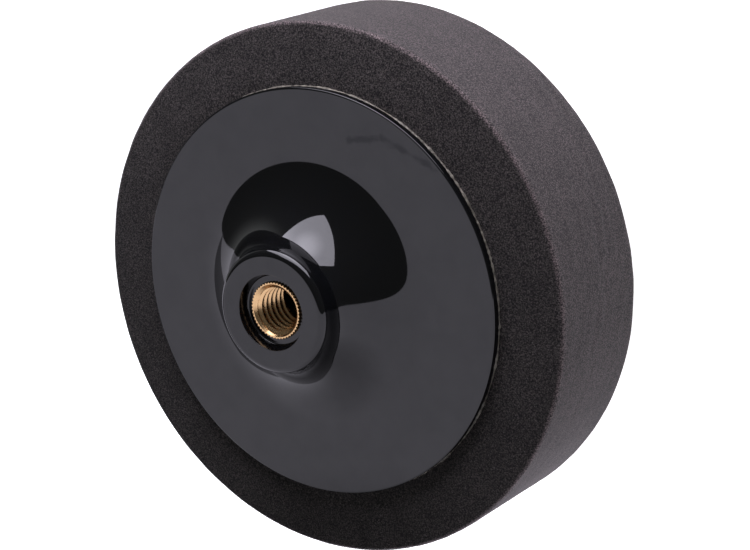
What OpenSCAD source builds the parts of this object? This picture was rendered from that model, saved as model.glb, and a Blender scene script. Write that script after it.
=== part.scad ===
// Foam polishing pad with a bonded backing plate and an M14 spindle thread.
// The pad lies on its working face, its axis is Z and the hub points up.
// The origin is the centre of the working face. All sizes are in millimetres.

/* [Foam pad] */
// Diameter of the foam
foam_d = 150; // [140:1:180]
// Thickness of the foam
foam_t = 41.2; // [20:0.1:50]
// Rounding of the foam's two edges
foam_edge_r = 1.4; // [0.4:0.1:4]

/* [Adhesive] */
// Thickness of the bond line between foam and plate
glue_t = 0.5; // [0.2:0.1:1.2]
// Radius of the bead squeezed out round the plate
bead_r = 0.8; // [0.3:0.1:1.5]

/* [Backing plate] */
// Diameter of the flange
plate_d = 114.2; // [96:0.5:138]
// Thickness of the flange
flange_t = 2.2; // [1.6:0.1:4.5]
// Rounding of the flange's upper edge
flange_edge_r = 0.5; // [0.2:0.1:1.2]
// Wall over the hollow under the bell
shell_t = 3; // [2:0.1:4]
// Outer diameter of the hollow under the bell
core_d = 56; // [44:1:60]
// Height of the hollow under the bell
core_h = 10; // [6:0.5:11]
// Number of ribs across the hollow
rib_count = 8; // [4:1:12]
// Thickness of each rib
rib_t = 2; // [1.2:0.1:3]

/* [Hub] */
// Diameter of the hub at its rim
hub_d = 34.2; // [31:0.1:42]
// Height of the hub face above the flange
hub_h = 20.3; // [16.8:0.1:26]
// Rounding of the hub's rim
hub_edge_r = 1.9; // [0.6:0.1:2.2]
// Radius of the sweep where the bell leaves the flange
flare_r = 22; // [16:0.5:28]
// Slope at which the sweep tightens towards the hub, in degrees
flare_slope = 62; // [45:1:70]

/* [Recess in the hub face] */
// Diameter at the hub face
recess_d = 20.8; // [20:0.1:24]
// Diameter at the floor
recess_floor_d = 19.4; // [18.6:0.1:20]
// Depth
recess_h = 3; // [2:0.1:4]

/* [Threaded insert] */
// Diameter over the knurl
insert_d = 16; // [15.6:0.1:17.5]
// Length of the insert
insert_l = 14; // [11:0.5:16]
// Height of the insert above the recess floor
insert_proud = 0.8; // [0:0.1:1.2]
// Teeth round the knurl
knurl_teeth = 50; // [36:1:60]
// Depth of the knurl
knurl_h = 0.4; // [0.2:0.05:0.6]
// Width of the locking groove round the middle
lock_groove_w = 3; // [1:0.5:4]
// Depth of the locking groove
lock_groove_h = 0.9; // [0.6:0.05:1]
// Gap between insert and plate: none, because the plate is moulded on it
insert_gap = 0; // [0:0.01:0.05]
// Nominal thread diameter
thread_d = 14; // [14:1:14]
// Thread pitch
thread_pitch = 2; // [2:0.5:2]
// Diameter of the thread's entry chamfer
entry_d = 14.6; // [14.2:0.1:14.8]
// Clearance round the spindle below the insert
spindle_gap = 0.3; // [0.2:0.1:0.6]
// Plastic left under the spindle hole
floor_t = 2.5; // [1.5:0.1:4]

/* [Hidden] */
$fn = 96;
eps = 0.01;

// levels up the axis
glue_z = foam_t;
plate_z = glue_z + glue_t;
flange_z = plate_z + flange_t;
hub_z = flange_z + hub_h;
recess_z = hub_z - recess_h;
insert_top = recess_z + insert_proud;
insert_z = insert_top - insert_l;

// the bell: a wide arc off the flange, then a tighter one that ends upright at the rim
plate_r = plate_d / 2;
hub_r = hub_d / 2;
flare_h = hub_h - hub_edge_r;
neck_arc_r = (flare_h - flare_r * (1 - cos(flare_slope))) / cos(flare_slope);
flare_end_r = hub_r + flare_r * sin(flare_slope) + neck_arc_r * (1 - sin(flare_slope));
flare_centre = [flare_end_r, flange_z + flare_r];
neck_centre = [hub_r + neck_arc_r, flange_z + flare_h];

// ISO 60 degree thread, cut as rings one pitch apart
thread_h = thread_pitch * sqrt(3) / 2;
minor_r = thread_d / 2 - thread_h * 5 / 8;
crest_w = thread_pitch / 4;
root_w = thread_pitch / 8;
flank_w = (thread_pitch - crest_w - root_w) / 2;
entry_h = entry_d / 2 - minor_r;
thread_turns = 1 + floor((insert_l - entry_h - crest_w - flank_w - root_w) / thread_pitch);
thread_l = (thread_turns - 1) * thread_pitch + crest_w;
thread_top = insert_top - entry_h;
boss_r = insert_d / 2 + shell_t;
spindle_r = thread_d / 2 + spindle_gap;
spindle_z = plate_z + floor_t;

// ---- foam

module foam_pad() {
    color("#2b292b")
    rotate_extrude()
    rounded_half_section(foam_d / 2, foam_t, foam_edge_r);
}

// right half of a disc's section, with its outer corners rounded
module rounded_half_section(r, h, edge) {
    square([r - edge, h]);
    translate([0, edge]) square([r, h - 2 * edge]);
    translate([r - edge, edge]) circle(r = edge);
    translate([r - edge, h - edge]) circle(r = edge);
}

// ---- adhesive

module adhesive_layer() {
    color("#b9b4a6")
    translate([0, 0, glue_z])
    rotate_extrude() {
        square([plate_r, glue_t]);
        intersection() {
            translate([plate_r, 0]) circle(r = bead_r);
            translate([plate_r, 0]) square(bead_r);
        }
    }
}

// ---- backing plate

module backing_plate() {
    color("#1b1b1f")
    difference() {
        rotate_extrude() {
            flange_section();
            hub_section();
            bell_section();
        }
        rotate_extrude() recess_section();
        translate([0, 0, spindle_z]) cylinder(h = insert_z - spindle_z + eps, r = spindle_r);
        insert_body(insert_gap);
        difference() {
            rotate_extrude() core_section();
            ribs();
        }
    }
}

module flange_section() {
    translate([0, plate_z]) {
        square([plate_r - flange_edge_r, flange_t]);
        square([plate_r, flange_t - flange_edge_r]);
        translate([plate_r - flange_edge_r, flange_t - flange_edge_r]) circle(r = flange_edge_r);
    }
}

module hub_section() {
    translate([0, plate_z]) square([hub_r, hub_z - plate_z - hub_edge_r]);
    translate([0, plate_z]) square([hub_r - hub_edge_r, hub_z - plate_z]);
    translate([hub_r - hub_edge_r, hub_z - hub_edge_r]) circle(r = hub_edge_r);
}

// what lies inside the two arcs and above bottom, set in from the outer surface by wall
module bell_section(wall = 0, bottom = plate_z) {
    difference() {
        translate([0, bottom]) square([flare_end_r, flange_z + flare_h - bottom]);
        intersection() {
            translate(flare_centre) circle(r = flare_r + wall, $fn = 180);
            below_joint();
        }
        intersection() {
            translate(neck_centre) circle(r = neck_arc_r + wall, $fn = 180);
            above_joint();
        }
    }
}

// the two halves of the section plane, split along the line through both arc centres
module below_joint() {
    translate(neck_centre) rotate(-90 - flare_slope) translate([-4 * flare_r, 0]) square(8 * flare_r);
}
module above_joint() {
    translate(neck_centre) rotate(90 - flare_slope) translate([-4 * flare_r, 0]) square(8 * flare_r);
}

// hollow under the bell, open downwards, round the boss that holds the insert
module core_section() {
    intersection() {
        bell_section(shell_t, plate_z - 1);
        translate([boss_r, plate_z - 1]) square([core_d / 2 - boss_r, core_h + 1]);
    }
}

module ribs() {
    for (i = [0 : rib_count - 1])
        rotate(i * 360 / rib_count)
        translate([0, -rib_t / 2, plate_z - 1]) cube([plate_r, rib_t, core_h + 2]);
}

module recess_section() {
    polygon([
        [0, recess_z], [recess_floor_d / 2, recess_z],
        [recess_d / 2, hub_z], [recess_d / 2, hub_z + 1], [0, hub_z + 1]
    ]);
}

// ---- threaded insert

module threaded_insert() {
    color("#c9a06a")
    difference() {
        insert_body(0);
        rotate_extrude() thread_section();
    }
}

// knurled bush with its locking groove, grown by gap for the pocket it sits in
module insert_body(gap) {
    tip_r = insert_d / 2 + gap;
    root_r = tip_r - knurl_h;
    difference() {
        translate([0, 0, insert_z]) linear_extrude(insert_l) knurl(tip_r, root_r);
        translate([0, 0, insert_z + (insert_l - lock_groove_w) / 2])
        difference() {
            cylinder(h = lock_groove_w, r = insert_d);
            translate([0, 0, -1]) cylinder(h = lock_groove_w + 2, r = tip_r - lock_groove_h);
        }
    }
}

module knurl(tip_r, root_r) {
    step = 180 / knurl_teeth;
    polygon([
        for (i = [0 : 2 * knurl_teeth - 1])
        let (r = i % 2 == 0 ? tip_r : root_r)
        r * [cos(i * step), sin(i * step)]
    ]);
}

// half section of the bore: an entry cone, a V groove between every two crests, and a plain end
module thread_section() {
    root_r = thread_d / 2;
    below = insert_z - 1;
    above = insert_top + 1;
    exit_z = thread_top - thread_l;
    polygon(concat(
        [[0, above], [entry_d / 2, above], [entry_d / 2, insert_top]],
        [for (i = [0 : thread_turns - 2], p = [
            [minor_r, 0],
            [minor_r, crest_w],
            [root_r, crest_w + flank_w],
            [root_r, crest_w + flank_w + root_w]
        ]) [p[0], thread_top - i * thread_pitch - p[1]]],
        [[minor_r, exit_z + crest_w], [minor_r, exit_z]],
        [[root_r, exit_z - flank_w], [root_r, below], [0, below]]
    ));
}

foam_pad();
adhesive_layer();
backing_plate();
threaded_insert();
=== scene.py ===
from math import asin, cos, degrees, pi, radians, sin, sqrt

import bmesh
import bpy
import numpy as np
from mathutils import Matrix, Vector


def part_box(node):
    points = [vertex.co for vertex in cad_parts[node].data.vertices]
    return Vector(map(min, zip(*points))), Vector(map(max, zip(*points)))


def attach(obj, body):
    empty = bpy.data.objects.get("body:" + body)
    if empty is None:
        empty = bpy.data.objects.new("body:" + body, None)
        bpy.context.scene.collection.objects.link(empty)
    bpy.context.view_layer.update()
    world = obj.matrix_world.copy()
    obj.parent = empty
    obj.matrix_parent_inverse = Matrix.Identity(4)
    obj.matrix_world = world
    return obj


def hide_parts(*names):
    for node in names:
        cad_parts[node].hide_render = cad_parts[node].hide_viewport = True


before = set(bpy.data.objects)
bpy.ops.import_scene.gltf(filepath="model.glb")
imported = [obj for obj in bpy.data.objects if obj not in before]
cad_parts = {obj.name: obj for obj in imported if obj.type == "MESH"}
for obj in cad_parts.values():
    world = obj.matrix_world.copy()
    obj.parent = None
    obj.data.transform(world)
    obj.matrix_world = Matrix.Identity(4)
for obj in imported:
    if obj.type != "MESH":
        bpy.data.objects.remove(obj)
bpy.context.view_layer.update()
mm = 0.001  # sizes below are in millimetres, Blender works in metres


# helpers that every piece uses

def hexColour(code):  # "#rrggbb" in sRGB to linear red, green, blue, 1
    parts = [int(code[i:i + 2], 16) / 255 for i in (1, 3, 5)]
    linear = [p / 12.92 if p <= 0.04045 else ((p + 0.055) / 1.055) ** 2.4 for p in parts]
    return tuple(linear) + (1.0,)


def addNode(tree, kind, settings=None, links=None):
    # settings name a property or an input socket, links join an input socket to an output
    node = tree.nodes.new(kind)
    for key, value in (settings or {}).items():
        if isinstance(key, str) and hasattr(node, key):
            setattr(node, key, value)
        else:
            node.inputs[key].default_value = value
    for key, source in (links or {}).items():
        tree.links.new(source, node.inputs[key])
    return node


def newMaterial(name):  # an empty material with its output node
    material = bpy.data.materials.new(name)
    material.use_nodes = True
    tree = material.node_tree
    tree.nodes.clear()
    output = addNode(tree, "ShaderNodeOutputMaterial")
    return material, tree, output


def surfaceFromGrid(name, grid, smoothAngle=35):
    # grid is rows by columns by xyz, in millimetres: every four neighbours make one face,
    # then coincident points are welded, which closes the seam and the poles
    rows, columns = grid.shape[:2]
    index = np.arange(rows * columns).reshape(rows, columns)
    corners = [index[:-1, :-1], index[:-1, 1:], index[1:, 1:], index[1:, :-1]]
    faces = np.stack(corners, axis=-1).reshape(-1, 4)
    mesh = bpy.data.meshes.new(name)
    mesh.from_pydata((grid.reshape(-1, 3) * mm).tolist(), [], faces.tolist())
    work = bmesh.new()
    work.from_mesh(mesh)
    bmesh.ops.remove_doubles(work, verts=work.verts, dist=1e-7)
    bmesh.ops.recalc_face_normals(work, faces=work.faces)
    work.to_mesh(mesh)
    work.free()
    mesh.shade_smooth()
    mesh.set_sharp_from_angle(angle=radians(smoothAngle))
    piece = bpy.data.objects.new(name, mesh)
    bpy.context.scene.collection.objects.link(piece)
    return piece


def arc(centre, radius, start, end, steps):
    # points of a circle about centre from the start angle to the end angle, in degrees
    angle = np.radians(np.linspace(start, end, steps))
    x, y = centre[0] + radius * np.cos(angle), centre[1] + radius * np.sin(angle)
    return np.stack([x, y], axis=-1)


def flat(start, end, margin=0.25):
    # straight line with an extra point near each end, so that its shading stays flat
    start, end = np.array(start, float), np.array(end, float)
    reach = min(margin / max(np.linalg.norm(end - start), 1e-6), 0.4)
    return start + (end - start) * np.array([[0.0], [reach], [1 - reach], [1.0]])


def lathe(profile, columns):
    # turns the profile, rows of radius and height, round Z: x = r cos a, y = r sin a
    angle = np.linspace(0, 2 * pi, columns + 1)
    angle[-1] = 0.0
    r, z = profile[:, 0, None], profile[:, 1, None]
    return np.stack([r * np.cos(angle), r * np.sin(angle), z + 0 * angle], axis=-1)


def waves(angle, low, high, count, seed):
    # sum of cosines that each close round the rim, with random counts and phases,
    # divided by the root of half their number, which gives a spread of about one
    draw = np.random.default_rng(seed)
    turns = draw.integers(low, high, count)
    phase = draw.uniform(0, 2 * pi, count)
    total = np.cos(angle[..., None] * turns + phase).sum(axis=-1)
    return total / sqrt(count / 2)


# the camera looks at the plate side of the pad, which stands on its rim

view = {
    "place": (360.6, 123.6, 518.8),
    "forward": (-0.5700, -0.1985, -0.7972),
    "standUp": (0.165, 0.986, 0.0),  # the side of the pad that is up while it stands on its rim
    "lens": 107.0,
    "sensor": 36.0,
}


def makeCamera():
    # the camera's right is standUp crossed with the way back, its up is back crossed with right
    data = bpy.data.cameras.new("camera")
    data.lens = view["lens"]
    data.sensor_width = view["sensor"]
    data.clip_start, data.clip_end = 0.01, 20
    camera = bpy.data.objects.new("camera", data)
    bpy.context.scene.collection.objects.link(camera)
    back = -Vector(view["forward"]).normalized()
    right = Vector(view["standUp"]).cross(back).normalized()
    up = back.cross(right)
    turn = Matrix((right, up, back)).transposed().to_4x4()
    camera.matrix_world = Matrix.Translation(Vector(view["place"]) * mm) @ turn
    bpy.context.scene.camera = camera


makeCamera()
print("camera placed")


# the foam pad, one cut disc

foam = {
    "edge": 1.3,                     # softness of the cut edges
    "rimDrop": 1.1,                  # how far the plate's side falls away towards its rim
    "dropFrom": 59.5,                # radius where it starts to fall
    "dropCurve": 1.3,                # 1 falls as a straight cone, more falls later
    "unevenness": 0.10,              # how far the cut wanders
    "offCentre": (0.45, -0.48),      # the disc is glued on to one side and low, as it stands
    "cellSize": 0.42,                # real cells are about 0.3, too fine to show
    "clumpSize": 0.5,                # cells that stand out together
    "cloudSize": 9.0,
    "bladeMark": (55.6, 3.33),       # length round the side and height of a blade's marks
    "cellRelief": 0.12,
    "colour": "#594f4f",
    "poreColour": "#1c1a1a",
    "clumpContrast": 0.5,
    "cloudContrast": 0.1,
    "markContrast": 0.045,
    "faceContrast": 0.4,             # the cut faces show their cells more strongly
    "faceTintAndLight": (1.39, 1.5, 1.44),   # the cut faces against the side, in red, green and blue: a slight green tint and painted light that makes them about half again as bright
    "highlightBand": 3.0,                 # width of the painted highlight on the side next to an edge
    "highlightZone": 0.22,                # how much lighter that painted band gets
    "highlightLine": 0.85,                # how much lighter again the painted highlight line at the cut edge is
    "columns": 480,
    "faceRows": 61,
    "sideRows": 44,
}


def foamMaterial():
    # open-cell polyurethane foam, cut with a blade: a matt dark grey whose pores read as fine grain
    material, tree, output = newMaterial("cutPolyurethaneFoam")
    place = addNode(tree, "ShaderNodeTexCoord").outputs["Object"]
    # the grain is a little finer than the cells, and both are drawn coarser than real ones
    cellScale = 1 / (foam["cellSize"] * mm)
    cells = addNode(tree, "ShaderNodeTexVoronoi", {"feature": "F1", "Scale": cellScale},
                    {"Vector": place})
    grain = addNode(tree, "ShaderNodeTexNoise", {"Scale": cellScale * 1.3, "Detail": 2.0},
                    {"Vector": place})
    clouds = addNode(tree, "ShaderNodeTexNoise",
                     {"Scale": 1 / (foam["cloudSize"] * mm), "Detail": 3.0}, {"Vector": place})
    # blade marks run round the side, so the pattern is stretched across the axis
    markLength, markHeight = (1 / (size * mm) for size in foam["bladeMark"])
    stretched = addNode(tree, "ShaderNodeMapping",
                        {"Scale": (markLength, markLength, markHeight)}, {"Vector": place})
    marks = addNode(tree, "ShaderNodeTexNoise", {"Scale": 1.0, "Detail": 3.0},
                    {"Vector": stretched.outputs[0]})
    pores = addNode(tree, "ShaderNodeMapRange", {"From Min": 0.1, "From Max": 0.75},
                    {"Value": cells.outputs["Distance"]})
    mixed = addNode(tree, "ShaderNodeMath", {"operation": "MULTIPLY", 1: 0.5},
                    {0: pores.outputs[0]})
    grainPart = addNode(tree, "ShaderNodeMath", {"operation": "MULTIPLY_ADD", 1: 0.9},
                        {0: grain.outputs["Fac"], 2: mixed.outputs[0]})
    shadeRange = addNode(tree, "ShaderNodeMapRange", {"From Min": 0.4, "From Max": 0.95},
                         {"Value": grainPart.outputs[0]})
    colour = addNode(tree, "ShaderNodeMix",
                     {"data_type": "RGBA", 6: hexColour(foam["colour"]),
                      7: hexColour(foam["poreColour"])}, {0: shadeRange.outputs[0]})
    # clumps of open cells, clouds and blade marks each scale the colour about one
    clumps = addNode(tree, "ShaderNodeTexNoise",
                     {"Scale": 1 / (foam["clumpSize"] * mm), "Detail": 2.0, "Roughness": 0.7},
                     {"Vector": place})
    level = None
    for source, spread in ((clumps, foam["clumpContrast"]), (clouds, foam["cloudContrast"]),
                           (marks, foam["markContrast"])):
        scaled = addNode(tree, "ShaderNodeMapRange",
                         {"From Min": 0.3, "From Max": 0.7, "To Min": 1 - spread,
                          "To Max": 1 + spread}, {"Value": source.outputs["Fac"]})
        if level is None:
            level = scaled
        else:
            level = addNode(tree, "ShaderNodeMath", {"operation": "MULTIPLY"},
                            {0: level.outputs[0], 1: scaled.outputs[0]})
    # how far up or down from the middle of the foam: tells the side, its edges and the faces apart
    height = addNode(tree, "ShaderNodeSeparateXYZ", {}, {"Vector": place})
    low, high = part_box("foam_pad")
    half = (high.z - foam["rimDrop"] * mm) / 2
    edge = foam["edge"] * mm
    offset = addNode(tree, "ShaderNodeMath", {"operation": "SUBTRACT", 1: half},
                     {0: height.outputs["Z"]})
    distance = addNode(tree, "ShaderNodeMath", {"operation": "ABSOLUTE"}, {0: offset.outputs[0]})
    face = addNode(tree, "ShaderNodeMapRange",
                   {"From Min": half - edge * 0.12, "From Max": half - edge * 0.005},
                   {"Value": distance.outputs[0]})
    # painted light: the cut faces get a slight green tint and are made brighter than the side,
    # which is the same foam
    faceTintAndLightMix = addNode(tree, "ShaderNodeMix",
                    {"data_type": "RGBA", 6: (1, 1, 1, 1), 7: foam["faceTintAndLight"] + (1.0,)},
                    {0: face.outputs[0]})
    stronger = addNode(tree, "ShaderNodeMath",
                       {"operation": "MULTIPLY_ADD", 1: foam["faceContrast"], 2: 1.0},
                       {0: face.outputs[0]})
    cellLevel = addNode(tree, "ShaderNodeMath", {"operation": "POWER"},
                        {0: level.outputs[0], 1: stronger.outputs[0]})
    # painted highlight: a light line along the cut edge and a lighter band on the side next to it,
    # for the light that the rounded edge catches
    bandHighlight = addNode(tree, "ShaderNodeMapRange",
                   {"interpolation_type": "SMOOTHSTEP", "From Min": half - foam["highlightBand"] * mm,
                    "From Max": half - edge, "To Min": 1.0, "To Max": 1 + foam["highlightZone"]},
                   {"Value": distance.outputs[0]})
    lineHighlight = addNode(tree, "ShaderNodeMapRange",
                   {"interpolation_type": "SMOOTHSTEP", "From Min": half - edge,
                    "From Max": half - edge * 0.55, "To Min": 1.0,
                    "To Max": 1 + foam["highlightLine"]}, {"Value": distance.outputs[0]})
    # rim is the painted edge highlight, band times line; the faces keep a level of one
    rim = addNode(tree, "ShaderNodeMath", {"operation": "MULTIPLY"},
                  {0: bandHighlight.outputs[0], 1: lineHighlight.outputs[0]})
    highlightLevel = addNode(tree, "ShaderNodeMix", {"data_type": "FLOAT", 3: 1.0},
                       {0: face.outputs[0], 2: rim.outputs[0]})
    total = addNode(tree, "ShaderNodeMath", {"operation": "MULTIPLY"},
                    {0: cellLevel.outputs[0], 1: highlightLevel.outputs[0]})
    scaledColour = addNode(tree, "ShaderNodeVectorMath", {"operation": "SCALE"},
                           {0: colour.outputs[2], "Scale": total.outputs[0]})
    shaded = addNode(tree, "ShaderNodeVectorMath", {"operation": "MULTIPLY"},
                     {0: scaledColour.outputs[0], 1: faceTintAndLightMix.outputs[2]})
    bump = addNode(tree, "ShaderNodeBump",
                   {"Strength": 0.5, "Distance": foam["cellRelief"] * mm, "invert": True},
                   {"Height": shadeRange.outputs[0]})
    shader = addNode(tree, "ShaderNodeBsdfPrincipled",
                     {"Roughness": 0.95, "Specular IOR Level": 0.1, "Sheen Weight": 0.12,
                      "Sheen Roughness": 0.6},
                     {"Base Color": shaded.outputs[0], "Normal": bump.outputs[0]})
    tree.links.new(shader.outputs[0], output.inputs["Surface"])
    return material


def makeFoam():
    # a lathe of a disc with rounded edges, whose plate side falls to the rim by rimDrop times
    # a power of the way out; waves that run round it push it in a little
    low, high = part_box("foam_pad")
    radius, bottom, top = high.x / mm, low.z / mm, high.z / mm
    edge = foam["edge"]
    rings = np.linspace(0, radius - edge, foam["faceRows"])
    wayOut = (rings - foam["dropFrom"]) / (radius - edge - foam["dropFrom"])
    fall = np.clip(wayOut, 0, 1) ** foam["dropCurve"]
    rimTop = top - foam["rimDrop"]
    sideRows = np.linspace(bottom + edge, rimTop - edge, foam["sideRows"])
    profile = np.concatenate([
        np.stack([rings, 0 * rings + bottom], axis=-1)[:-1],
        arc((radius - edge, bottom + edge), edge, -90, 0, 7),
        np.stack([0 * sideRows + radius, sideRows], axis=-1)[1:-1],
        arc((radius - edge, rimTop - edge), edge, 0, 90, 7),
        np.stack([rings, top - foam["rimDrop"] * fall], axis=-1)[::-1][1:],
    ])
    grid = lathe(profile, foam["columns"])
    angle = np.broadcast_to(np.linspace(0, 2 * pi, foam["columns"] + 1), grid.shape[:2]).copy()
    angle[:, -1] = 0.0
    row = np.arange(len(profile))[:, None]
    wander = waves(angle, 3, 30, 14, 11) * 0.6 + waves(angle + row * 0.05, 8, 60, 20, 12) * 0.4
    nearRim = np.clip((grid[..., :2] ** 2).sum(axis=-1) ** 0.5 / radius, 0, 1) ** 8
    inward = np.abs(wander) * foam["unevenness"] * nearRim
    grid[..., :2] *= (1 - inward / radius)[..., None]
    # the offset is along the ground and up, as the pad stands, and is turned to X and Y here
    upX, upY = view["standUp"][:2]
    grid[..., :2] += np.array([[upY, -upX], [upX, upY]]).T @ foam["offCentre"]
    piece = surfaceFromGrid("foamPad", grid, 60)
    piece.data.materials.append(foamMaterial())
    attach(piece, "root")
    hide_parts("foam_pad")


makeFoam()
print("foam pad made")


# the backing plate: flange, bell and hub in one moulding

plate = {
    "flange": 2.2,               # thickness
    "flangeEdge": 0.4,
    "hub": 17.1,                 # radius
    "hubEdge": 1.9,
    "flare": 22.0,               # radius of the wide arc off the flange
    "flareSlope": 62.0,          # where that arc ends, in degrees
    "recess": 10.4,              # radius at the mouth
    "recessFloor": 9.7,
    "recessDepth": 3.0,
    "recessFillet": 0.5,
    "recessLip": 0.15,
    "pocket": 7.6,               # radius of the hole that holds the insert, hidden by it
    "pocketDepth": 13.2,
    "spindleHole": 7.3,
    "floor": 2.5,                # plastic left under the spindle hole
    "shell": 3.0,                # wall over the hollow
    "boss": 11.0,
    "core": 28.0,                # outer radius of the hollow
    "coreHeight": 10.0,
    "colour": "#0b0b0c",
    "roughness": (0.035, 0.11),  # where it is clean and where it is smeared
    "smearSize": 22.0,
    "rippleSize": 14.0,          # sink marks: the flange isn't quite flat
    "rippleDepth": 0.02,
    "turnedRoughness": 0.09,     # added on the wall of the recess
    "residueColour": "#0e1219",
    "residuePath": [(19.0, 42.0), (30.4, 41.9), (44.7, 33.5)],   # a dark streak on the flange
    "residueCore": 2.2,          # half width at full strength
    "residueWidth": 3.6,
    "residueFray": 5.0,          # how far its edge wanders
    "residueFraySize": 3.2,
    "residueStrength": 0.55,
    "filmStrength": 0.16,        # a thin uneven film from handling, all over
    "filmSize": 7.0,
    "columns": 384,
}


def distanceToLine(tree, place, start, end):
    # distance from a place on the flange to the nearest point of a straight line:
    # the place's share along the line, held between 0 and 1, gives that point
    start, end = Vector(start).to_3d() * mm, Vector(end).to_3d() * mm
    run = end - start
    offset = addNode(tree, "ShaderNodeVectorMath", {"operation": "SUBTRACT", 1: start}, {0: place})
    along = addNode(tree, "ShaderNodeVectorMath",
                    {"operation": "DOT_PRODUCT", 1: run / run.length_squared},
                    {0: offset.outputs[0]})
    held = addNode(tree, "ShaderNodeClamp", {}, {"Value": along.outputs["Value"]})
    nearest = addNode(tree, "ShaderNodeVectorMath", {"operation": "SCALE", 0: run},
                      {"Scale": held.outputs[0]})
    return addNode(tree, "ShaderNodeVectorMath", {"operation": "DISTANCE"},
                   {0: offset.outputs[0], 1: nearest.outputs[0]}).outputs["Value"]


def plasticMaterial():
    # ABS, moulded against polished steel: black with a sharp clear reflection and faint smears
    material, tree, output = newMaterial("polishedBlackABS")
    place = addNode(tree, "ShaderNodeTexCoord").outputs["Object"]
    smears = addNode(tree, "ShaderNodeTexNoise",
                     {"Scale": 1 / (plate["smearSize"] * mm), "Detail": 4.0, "Distortion": 1.2},
                     {"Vector": place})
    cleanest, dullest = plate["roughness"]
    roughness = addNode(tree, "ShaderNodeMapRange",
                        {"From Min": 0.5, "From Max": 0.75, "To Min": cleanest, "To Max": dullest},
                        {"Value": smears.outputs["Fac"]})
    ripple = addNode(tree, "ShaderNodeTexNoise",
                     {"Scale": 1 / (plate["rippleSize"] * mm), "Detail": 1.0}, {"Vector": place})
    bump = addNode(tree, "ShaderNodeBump",
                   {"Strength": 0.25, "Distance": plate["rippleDepth"] * mm},
                   {"Height": ripple.outputs["Fac"]})
    # the streak follows a bent line, and noise added to the distance frays its edge
    flatPlace = addNode(tree, "ShaderNodeVectorMath", {"operation": "MULTIPLY", 1: (1, 1, 0)},
                        {0: place})
    first, middle, last = plate["residuePath"]
    nearer = addNode(tree, "ShaderNodeMath", {"operation": "MINIMUM"},
                     {0: distanceToLine(tree, flatPlace.outputs[0], first, middle),
                      1: distanceToLine(tree, flatPlace.outputs[0], middle, last)})
    wobble = addNode(tree, "ShaderNodeTexNoise",
                     {"Scale": 1 / (plate["residueFraySize"] * mm), "Detail": 4.0},
                     {"Vector": place})
    wide = addNode(tree, "ShaderNodeMath",
                   {"operation": "MULTIPLY_ADD", 1: plate["residueFray"] * mm},
                   {0: wobble.outputs["Fac"], 2: nearer.outputs[0]})
    core = plate["residueCore"]
    streak = addNode(tree, "ShaderNodeMapRange",
                     {"interpolation_type": "SMOOTHSTEP", "From Min": core * mm,
                      "From Max": (core + plate["residueWidth"] / 2) * mm,
                      "To Min": plate["residueStrength"], "To Max": 0.0},
                     {"Value": wide.outputs[0]})
    haze = addNode(tree, "ShaderNodeTexNoise",
                   {"Scale": 1 / (plate["filmSize"] * mm), "Detail": 5.0, "Roughness": 0.65},
                   {"Vector": place})
    film = addNode(tree, "ShaderNodeMapRange",
                   {"From Min": 0.4, "From Max": 0.75, "To Min": 0.0,
                    "To Max": plate["filmStrength"]}, {"Value": haze.outputs["Fac"]})
    soiled = addNode(tree, "ShaderNodeMath", {"operation": "MAXIMUM"},
                     {0: streak.outputs[0], 1: film.outputs[0]})
    # inside the mouth of the recess the plastic is duller than the rest
    spread = addNode(tree, "ShaderNodeVectorMath", {"operation": "LENGTH"},
                     {0: flatPlace.outputs[0]})
    turned = addNode(tree, "ShaderNodeMapRange",
                     {"From Min": (plate["recess"] + 0.02) * mm,
                      "From Max": (plate["recess"] + 0.12) * mm,
                      "To Min": plate["turnedRoughness"], "To Max": 0.0},
                     {"Value": spread.outputs["Value"]})
    dull = addNode(tree, "ShaderNodeMath", {"operation": "ADD"},
                   {0: roughness.outputs[0], 1: turned.outputs[0]})
    clean = addNode(tree, "ShaderNodeBsdfPrincipled",
                    {"Base Color": hexColour(plate["colour"]), "IOR": 1.52},
                    {"Roughness": dull.outputs[0], "Normal": bump.outputs[0]})
    residue = addNode(tree, "ShaderNodeBsdfPrincipled",
                      {"Base Color": hexColour(plate["residueColour"]), "IOR": 1.3,
                       "Roughness": 0.12}, {"Normal": bump.outputs[0]})
    both = addNode(tree, "ShaderNodeMixShader", {},
                   {0: soiled.outputs[0], 1: clean.outputs[0], 2: residue.outputs[0]})
    tree.links.new(both.outputs[0], output.inputs["Surface"])
    return material


def bellCentres(flangeTop, hubTop):
    # the bell is a wide arc off the flange and a tighter one that ends upright at the hub's rim
    slope = radians(plate["flareSlope"])
    height = hubTop - plate["hubEdge"] - flangeTop
    neck = (height - plate["flare"] * (1 - cos(slope))) / cos(slope)
    end = plate["hub"] + plate["flare"] * sin(slope) + neck * (1 - sin(slope))
    return (end, flangeTop + plate["flare"]), (plate["hub"] + neck, flangeTop + height), neck


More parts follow.
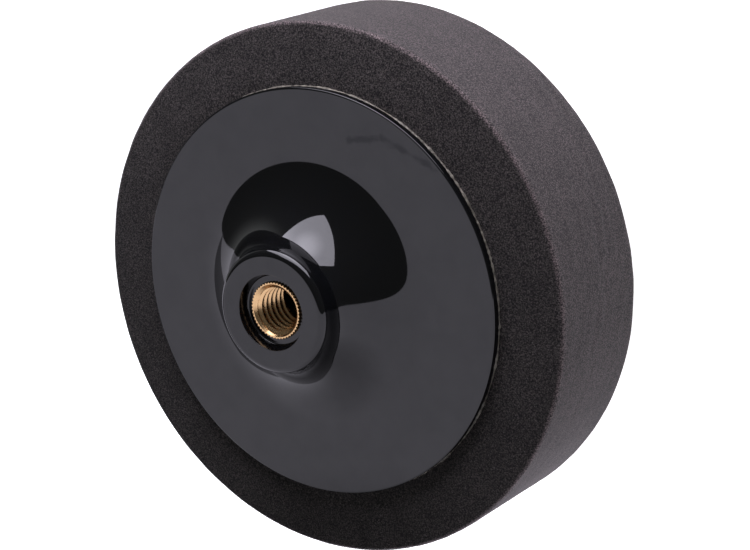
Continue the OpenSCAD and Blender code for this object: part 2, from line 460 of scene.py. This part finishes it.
def plateProfile(bottom, top, radius):
    # the half section as straight lines and arcs, from the axis under the boss, through the
    # hollow, out along the flange, up the bell, over the hub and down into the recess
    flangeTop = bottom + plate["flange"]
    flareCentre, neckCentre, neck = bellCentres(flangeTop, top)
    ceiling = bottom + plate["coreHeight"]
    # the hollow's ceiling is an arc one wall inside the bell's, between its height and its radius
    inner = plate["flare"] + plate["shell"]
    high = degrees(asin((flareCentre[1] - ceiling) / inner))
    low = degrees(asin(sqrt(inner ** 2 - (flareCentre[0] - plate["core"]) ** 2) / inner))
    innerArc = arc(flareCentre, inner, 180 + high, 180 + low, 16)
    recessZ = top - plate["recessDepth"]
    fillet, lip = plate["recessFillet"], plate["recessLip"]
    corner = plate["recessFloor"] + 0.1   # where the tapered wall meets the fillet
    pocketZ = recessZ - plate["pocketDepth"]
    spindleZ = bottom + plate["floor"]
    edge, rim = plate["flangeEdge"], plate["hubEdge"]
    return np.concatenate([
        flat((0, bottom), (plate["boss"], bottom)),
        flat((plate["boss"], bottom), (plate["boss"], ceiling)),
        flat((plate["boss"], ceiling), innerArc[0]),
        innerArc,
        flat(innerArc[-1], (plate["core"], bottom)),
        flat((plate["core"], bottom), (radius, bottom)),
        flat((radius, bottom), (radius, flangeTop - edge)),
        arc((radius - edge, flangeTop - edge), edge, 0, 90, 8),
        flat((radius - edge, flangeTop), (flareCentre[0], flangeTop)),
        arc(flareCentre, plate["flare"], 270, 270 - plate["flareSlope"], 40),
        arc(neckCentre, neck, 270 - plate["flareSlope"], 180, 16)[1:],
        arc((plate["hub"] - rim, top - rim), rim, 0, 90, 14)[1:],
        flat((plate["hub"] - rim, top), (plate["recess"] + lip, top)),
        arc((plate["recess"] + lip, top - lip), lip, 90, 180, 5)[1:],
        flat((plate["recess"], top - lip), (corner, recessZ + fillet))[1:],
        arc((corner - fillet, recessZ + fillet), fillet, 0, -90, 7),
        flat((corner - fillet, recessZ), (plate["pocket"], recessZ)),
        flat((plate["pocket"], recessZ), (plate["pocket"], pocketZ)),
        flat((plate["pocket"], pocketZ), (plate["spindleHole"], pocketZ)),
        flat((plate["spindleHole"], pocketZ), (plate["spindleHole"], spindleZ)),
        flat((plate["spindleHole"], spindleZ), (0, spindleZ)),
    ])


def makePlate():  # a lathe of the half section
    low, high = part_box("backing_plate")
    profile = plateProfile(low.z / mm, high.z / mm, high.x / mm)
    piece = surfaceFromGrid("backingPlate", lathe(profile, plate["columns"]), 35)
    piece.data.materials.append(plasticMaterial())
    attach(piece, "root")
    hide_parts("backing_plate")


makePlate()
print("backing plate made")


# the threaded insert, with a knurl outside and the spindle thread inside

insert = {
    "outer": 8.0,                # radius over the knurl
    "knurlDepth": 0.4,
    "teeth": 50,
    "samplesPerTooth": 8,
    "bevel": 0.25,
    "grooveWidth": 3.0,
    "grooveRadius": 7.1,
    "major": 7.0,                # radius at the thread's root, M14
    "minor": 5.918,              # radius at its crest
    "pitch": 2.0,
    "entry": 7.3,                # radius of the mouth's cone
    "relief": 7.05,              # radius of the plain bore past the thread
    "reliefLength": 1.4,
    "reliefRunOut": 0.6,         # how far past it the cut starts
    "reliefSlope": 1.8,          # radius gained for each step down
    "rowsPerPitch": 16,
    "start": 0.75,               # turns from the X axis to where the thread runs into the mouth
    "colour": "#dcb685",
    "roughness": (0.18, 0.32),   # where it is bright and where it is stained
    "stainSize": 1.5,
    "ringSpacing": 1 / 6,        # a tool's rings are finer than this, too fine to show
    "ringLength": 2.5,
    "ringDepth": 0.02,
}


def brassMaterial():
    # free-cutting brass, turned on a lathe: pale gold and bright, with fine rings that soften
    # the gleam; they are drawn coarser than a tool leaves them
    material, tree, output = newMaterial("turnedBrass")
    place = addNode(tree, "ShaderNodeTexCoord").outputs["Object"]
    stains = addNode(tree, "ShaderNodeTexNoise",
                     {"Scale": 1 / (insert["stainSize"] * mm), "Detail": 3.0}, {"Vector": place})
    bright, stained = insert["roughness"]
    roughness = addNode(tree, "ShaderNodeMapRange",
                        {"From Min": 0.3, "From Max": 0.7, "To Min": bright, "To Max": stained},
                        {"Value": stains.outputs["Fac"]})
    along, across = 1 / (insert["ringLength"] * mm), 1 / (insert["ringSpacing"] * mm)
    rings = addNode(tree, "ShaderNodeMapping", {"Scale": (along, along, across)},
                    {"Vector": place})
    ringNoise = addNode(tree, "ShaderNodeTexNoise", {"Scale": 1.0, "Detail": 1.0},
                        {"Vector": rings.outputs[0]})
    bump = addNode(tree, "ShaderNodeBump",
                   {"Strength": 0.12, "Distance": insert["ringDepth"] * mm},
                   {"Height": ringNoise.outputs["Fac"]})
    shader = addNode(tree, "ShaderNodeBsdfPrincipled",
                     {"Base Color": hexColour(insert["colour"]), "Metallic": 1.0},
                     {"Roughness": roughness.outputs[0], "Normal": bump.outputs[0]})
    tree.links.new(shader.outputs[0], output.inputs["Surface"])
    return material


def threadRadius(turn):
    # ISO profile against turns along the axis: a flat crest over a quarter of the pitch,
    # a flank, a flat root over an eighth and a flank back
    crest, root = 1 / 4, 1 / 8
    flank = (1 - crest - root) / 2
    phase = turn % 1.0
    rise = np.clip((phase - crest) / flank, 0, 1) - np.clip((phase - 1 + flank) / flank, 0, 1)
    return insert["minor"] + (insert["major"] - insert["minor"]) * rise


def makeInsert():
    # the bore's rows climb one pitch for each turn, so the crests are true helices;
    # rows past either end are held at that end, where the cones close them into one ring
    low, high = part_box("threaded_insert")
    bottom, top = low.z / mm, high.z / mm
    columns = insert["teeth"] * insert["samplesPerTooth"]
    angle = np.linspace(0, 2 * pi, columns + 1)
    pitch, step = insert["pitch"], insert["pitch"] / insert["rowsPerPitch"]
    along = np.arange(top + step, bottom - pitch - step, -step)[:, None]
    z = np.clip(along + pitch * angle / (2 * pi), bottom, top)
    bore = np.broadcast_to(threadRadius(along / pitch + insert["start"]), z.shape)
    cone = insert["entry"] - (top - z)
    reliefTop = bottom + insert["reliefLength"] + insert["reliefRunOut"]
    relief = insert["minor"] + (reliefTop - z) * insert["reliefSlope"]
    relief = np.clip(relief, 0, insert["relief"])
    bore = np.maximum(np.maximum(bore, cone), relief)

    tooth = np.abs((angle * insert["teeth"] / (2 * pi)) % 1.0 - 0.5) * 2
    knurl = insert["outer"] - insert["knurlDepth"] * tooth
    middle, half = (bottom + top) / 2, insert["grooveWidth"] / 2
    bevel, topBevel = insert["bevel"], insert["bevel"] * 0.6
    groove = insert["grooveRadius"] + 0 * angle
    outside = [
        (bottom, knurl - bevel), (bottom + bevel, knurl), (middle - half, knurl),
        (middle - half, groove), (middle + half, groove), (middle + half, knurl),
        (top - topBevel, knurl), (top, knurl - topBevel), (top, insert["entry"] + 0.05 + 0 * angle),
    ]
    rOut = np.stack([r for _, r in outside])
    zOut = np.stack([level + 0 * angle for level, _ in outside])
    r = np.concatenate([rOut, bore, rOut[:1]])
    z = np.concatenate([zOut, z, zOut[:1]])
    grid = np.stack([r * np.cos(angle), r * np.sin(angle), z], axis=-1)
    piece = surfaceFromGrid("threadedInsert", grid, 25)
    piece.data.materials.append(brassMaterial())
    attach(piece, "root")
    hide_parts("threaded_insert")


makeInsert()
print("threaded insert made")


# the adhesive, with the bead pressed out round the plate

adhesive = {
    "width": 0.15,         # mean reach of the bead past the plate
    "spread": 0.12,        # how much that varies, between the next two
    "least": 0.02,
    "most": 0.7,
    "climb": 0.45,         # how far the bead rises before its reach adds to it
    "patchSize": 1.1,      # clean and soiled patches
    "colour": "#a09a8d",
    "dirtColour": "#57534a",
    "columns": 1440,
}


def adhesiveMaterial():
    # contact adhesive that was pressed out of the joint: pale, half glossy, uneven
    material, tree, output = newMaterial("curedAdhesive")
    place = addNode(tree, "ShaderNodeTexCoord").outputs["Object"]
    patches = addNode(tree, "ShaderNodeTexNoise",
                      {"Scale": 1 / (adhesive["patchSize"] * mm), "Detail": 4.0},
                      {"Vector": place})
    part = addNode(tree, "ShaderNodeMapRange", {"From Min": 0.35, "From Max": 0.65},
                   {"Value": patches.outputs["Fac"]})
    colour = addNode(tree, "ShaderNodeMix",
                     {"data_type": "RGBA", 6: hexColour(adhesive["colour"]),
                      7: hexColour(adhesive["dirtColour"])}, {0: part.outputs[0]})
    shader = addNode(tree, "ShaderNodeBsdfPrincipled", {"Roughness": 0.35, "IOR": 1.48},
                     {"Base Color": colour.outputs[2]})
    tree.links.new(shader.outputs[0], output.inputs["Surface"])
    return material


def makeAdhesive():
    # a thin disc under the plate whose rim swells into a bead, a quarter ellipse that climbs
    # the flange: r is the plate's radius plus reach times cos, z is climb plus reach times sin;
    # the reach varies round the plate by long and short waves
    low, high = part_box("adhesive_layer")
    plateLow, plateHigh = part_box("backing_plate")
    bottom, film, radius = low.z / mm, plateLow.z / mm, plateHigh.x / mm
    angle = np.linspace(0, 2 * pi, adhesive["columns"] + 1)
    angle[-1] = 0.0
    varied = 0.7 * waves(angle, 4, 50, 16, 5) + 0.5 * waves(angle, 60, 240, 24, 6)
    reach = adhesive["width"] + adhesive["spread"] * varied
    reach = np.clip(reach, adhesive["least"], adhesive["most"])
    bulge = np.radians(np.linspace(-20, 90, 8))[:, None]
    even = 0 * angle
    r = np.concatenate([[even], [radius * 0.9 + even], radius + reach * np.cos(bulge),
                        [radius - 0.05 + even], [radius * 0.9 + even], [even]])
    lift = np.maximum((adhesive["climb"] + reach) * np.sin(bulge), 0.0)
    z = np.concatenate([[bottom + even], [bottom + even], bottom + lift,
                        [film + even], [film + even], [film + even]])
    grid = np.stack([r * np.cos(angle), r * np.sin(angle), z], axis=-1)
    piece = surfaceFromGrid("adhesiveLayer", grid, 60)
    piece.data.materials.append(adhesiveMaterial())
    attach(piece, "root")
    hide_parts("adhesive_layer")


makeAdhesive()
print("adhesive made")


# the studio: cards that give light, a pale floor and a dark room

studio = {
    "centreHeight": 40.0,         # the lights are laid out round the plate's side of the foam
    "softboxHeight": 450.0,       # towards standUp
    "softboxCentre": (-38.0, -32.0),
    "softboxSide": 580.0,
    "softboxTurn": -28.0,
    "softboxRadiance": (7.4, 4.8),    # in the middle and at the rim
    "softboxReach": 216.0,            # where it has fallen to the second value
    "sheetBelow": 77.0,
    "sheetCorners": [(-720, -400), (-700, 0), (-460, 330), (-450, 1090),
                     (38, 640), (683, 431), (1800, 72), (1900, -400)],
    "sheetRadiance": (0.35, 1.15),    # under the pad and in the open
    "sheetDarkHeight": 20.0,          # middle of the part under the pad
    "sheetReach": (100.0, 105.0),     # along the ground and up the axis
    "shadeCorners": [(-60, 0), (-230, 0), (-400, 150), (-540, 280), (-300, 160), (-110, 50)],
    "shadeRadiance": 0.35,
    "bounceCorners": [(-150, -38), (600, -38), (600, 0), (-150, 0)],
    "bounceRadiance": 3.0,
    "tint": (0.955, 0.93, 1.06),
    "room": 0.09,
    "roomGlow": 0.3,              # added in the room's bright direction
    "roomBright": (-0.7, 0.0, -0.7),
    "roomTint": (0.97, 0.99, 1.0),
    "floorHalf": 4000.0,
    "floorDrop": 0.2,             # the floor lies this far under the pad
    "floorPaint": 0.85,
    "floorGlow": 0.62,
    "floorSeen": 0.36,            # what the camera sees beyond that, for a white ground
}


def emitter(name, corners, radiance, centre=(0, 0, 0), reach=(1, 1, 1), start=0.0,
            seenBy="both"):
    # a flat card that only gives light: gloss, matt surfaces or both see it, the camera doesn't;
    # radiance goes from its first value at the centre to its second one at the reach
    mesh = bpy.data.meshes.new(name)
    points = [tuple(c * mm for c in corner) for corner in corners]
    mesh.from_pydata(points, [], [tuple(range(len(points)))])
    card = bpy.data.objects.new(name, mesh)
    bpy.context.scene.collection.objects.link(card)
    material, tree, output = newMaterial(name + "Glow")
    place = addNode(tree, "ShaderNodeTexCoord").outputs["Object"]
    away = addNode(tree, "ShaderNodeVectorMath",
                   {"operation": "SUBTRACT", 1: [c * mm for c in centre]}, {0: place})
    scaled = addNode(tree, "ShaderNodeVectorMath",
                     {"operation": "DIVIDE", 1: [c * mm for c in reach]}, {0: away.outputs[0]})
    distance = addNode(tree, "ShaderNodeVectorMath", {"operation": "LENGTH"},
                       {0: scaled.outputs[0]})
    strength = addNode(tree, "ShaderNodeMapRange",
                       {"interpolation_type": "SMOOTHSTEP", "From Min": start,
                        "To Min": radiance[0], "To Max": radiance[1]},
                       {"Value": distance.outputs["Value"]})
    glow = addNode(tree, "ShaderNodeEmission", {"Color": studio["tint"] + (1.0,)},
                   {"Strength": strength.outputs[0]})
    tree.links.new(glow.outputs[0], output.inputs["Surface"])
    mesh.materials.append(material)
    card.visible_camera = False
    card.visible_shadow = False
    card.visible_diffuse = seenBy != "gloss"
    card.visible_glossy = seenBy != "matt"


def makeCards():
    # a card's corners are its place plus steps along the ground and up the pad's axis
    up = Vector(view["standUp"]).normalized()
    along = Vector((up.y, -up.x, 0))
    axis = Vector((0, 0, 1))
    origin = axis * studio["centreHeight"]
    far = 1e6   # the sheet lies across Y, so its glow doesn't change along Y
    # white sheet below the pad's rim, mirrored in the flat of the plate; dark under the pad
    below = origin - up * studio["sheetBelow"]
    reachAlong, reachUp = studio["sheetReach"]
    emitter("whiteSheet", [below + along * a + axis * z for a, z in studio["sheetCorners"]],
            studio["sheetRadiance"], (0, 0, studio["sheetDarkHeight"]),
            (reachAlong, far, reachUp), seenBy="gloss")
    above = below + up * 0.5
    emitter("sheetShade", [above + along * a + axis * z for a, z in studio["shadeCorners"]],
            [studio["shadeRadiance"]] * 2, seenBy="gloss")
    # what the sheet gives back to the underside of the foam
    emitter("sheetBounce", [above + along * a + axis * z for a, z in studio["bounceCorners"]],
            [studio["bounceRadiance"]] * 2, seenBy="matt")
    # softbox over the rim, mirrored in the bell
    turn, halfSide = radians(studio["softboxTurn"]), studio["softboxSide"] / 2
    wide = (along * cos(turn) + axis * sin(turn)) * halfSide
    deep = (along * -sin(turn) + axis * cos(turn)) * halfSide
    a, z = studio["softboxCentre"]
    centre = origin + up * studio["softboxHeight"] + along * a + axis * z
    corners = [centre + wide * i + deep * j for i, j in ((-1, -1), (1, -1), (1, 1), (-1, 1))]
    emitter("softbox", corners, studio["softboxRadiance"], centre,
            [studio["softboxReach"]] * 3, 0.2)


def makeFloor():
    # pale and faintly lit from within, so that shadows stay light; open from below
    mesh = bpy.data.meshes.new("floor")
    half, level = studio["floorHalf"] * mm, -studio["floorDrop"] * mm
    corners = [(-half, -half, level), (half, -half, level), (half, half, level),
               (-half, half, level)]
    mesh.from_pydata(corners, [], [(0, 1, 2, 3)])
    floor = bpy.data.objects.new("floor", mesh)
    bpy.context.scene.collection.objects.link(floor)
    material, tree, output = newMaterial("paleFloor")
    paint = addNode(tree, "ShaderNodeBsdfDiffuse", {"Color": [studio["floorPaint"]] * 3 + [1]})
    seen = addNode(tree, "ShaderNodeLightPath").outputs["Is Camera Ray"]
    strength = addNode(tree, "ShaderNodeMath",
                       {"operation": "MULTIPLY_ADD", 1: studio["floorSeen"],
                        2: studio["floorGlow"]}, {0: seen})
    glow = addNode(tree, "ShaderNodeEmission", {"Color": (1, 1, 1, 1)},
                   {"Strength": strength.outputs[0]})
    both = addNode(tree, "ShaderNodeAddShader", {}, {0: paint.outputs[0], 1: glow.outputs[0]})
    clear = addNode(tree, "ShaderNodeBsdfTransparent")
    side = addNode(tree, "ShaderNodeNewGeometry")
    mixed = addNode(tree, "ShaderNodeMixShader", {},
                    {0: side.outputs["Backfacing"], 1: both.outputs[0], 2: clear.outputs[0]})
    tree.links.new(mixed.outputs[0], output.inputs["Surface"])
    mesh.materials.append(material)
    floor.visible_shadow = False
    floor.visible_glossy = False


def makeRoom():
    # dark in reflections but for a glow low on one side, pale behind the floor's edge
    world = bpy.data.worlds.new("room")
    bpy.context.scene.world = world
    world.use_nodes = True
    tree = world.node_tree
    tree.nodes.clear()
    direction = addNode(tree, "ShaderNodeTexCoord").outputs["Generated"]
    lean = addNode(tree, "ShaderNodeVectorMath",
                   {"operation": "DOT_PRODUCT", 1: studio["roomBright"]}, {0: direction})
    level = addNode(tree, "ShaderNodeMapRange",
                    {"interpolation_type": "SMOOTHSTEP", "From Min": 0.45, "From Max": 0.9,
                     "To Min": studio["room"], "To Max": studio["room"] + studio["roomGlow"]},
                    {"Value": lean.outputs["Value"]})
    dark = addNode(tree, "ShaderNodeBackground", {"Color": studio["roomTint"] + (1.0,)},
                   {"Strength": level.outputs[0]})
    pale = addNode(tree, "ShaderNodeBackground", {"Color": (1, 1, 1, 1), "Strength": 1.0})
    path = addNode(tree, "ShaderNodeLightPath")
    both = addNode(tree, "ShaderNodeMixShader", {},
                   {0: path.outputs["Is Camera Ray"], 1: dark.outputs[0], 2: pale.outputs[0]})
    result = addNode(tree, "ShaderNodeOutputWorld")
    tree.links.new(both.outputs[0], result.inputs["Surface"])


makeCards()
makeFloor()
makeRoom()
bpy.context.scene.view_settings.view_transform = "Standard"   # white stays white
print("studio made")
